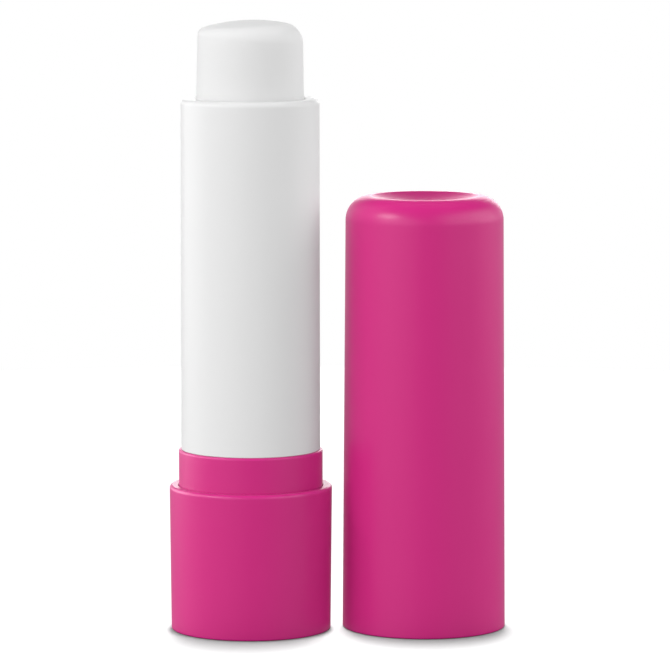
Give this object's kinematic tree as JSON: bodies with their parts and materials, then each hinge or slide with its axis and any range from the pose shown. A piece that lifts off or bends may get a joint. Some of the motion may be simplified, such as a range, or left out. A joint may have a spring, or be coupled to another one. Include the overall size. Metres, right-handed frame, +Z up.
{
  "type": "lip balm stick",
  "caption": "Twist-up lip balm stick with a screw-driven bullet in a white tube, a pink grip base and a matching pull-off cap standing beside it.",
  "frame": {"origin": "centre of the stick's flat underside, on the axis that the tube turns about", "axes": "+Z up along the stick, +X towards the cap that stands beside it, +Y away from the side that the picture shows"},
  "size_m": [0.0395, 0.0206, 0.0716],
  "materials": {
    "pink_plastic": "satin moulded",
    "white_plastic": "satin moulded",
    "natural_acetal": "plain moulded",
    "balm_wax": "smooth cast wax"
  },
  "bodies": {
    "base": {"grip_shell": "pink_plastic", "collar_insert": "pink_plastic", "screw_spindle": "natural_acetal"},
    "tube": {"balm_tube": "white_plastic"},
    "carriage": {"lift_cup": "natural_acetal", "balm": "balm_wax"},
    "cap": {"cap": "pink_plastic"}
  },
  "joints": [
    {"name": "tube_turn", "type": "hinge", "parent": "base", "child": "tube", "pos_m": [0, 0, 0], "axis": [0, 0, 1], "range_deg": [-963, 2979]},
    {"name": "balm_lift", "type": "slide", "parent": "tube", "child": "carriage", "axis": [0, 0, 1], "range_m": [-0.0107, 0.0331]},
    {"name": "cap_lift", "type": "slide", "parent": "base", "child": "cap", "axis": [0, 0, 1], "range_m": [0, 0.075]}
  ],
  "couplings": [
    {"joint": "tube_turn", "follows": "balm_lift", "rad_per_m": 1570.8}
  ]
}
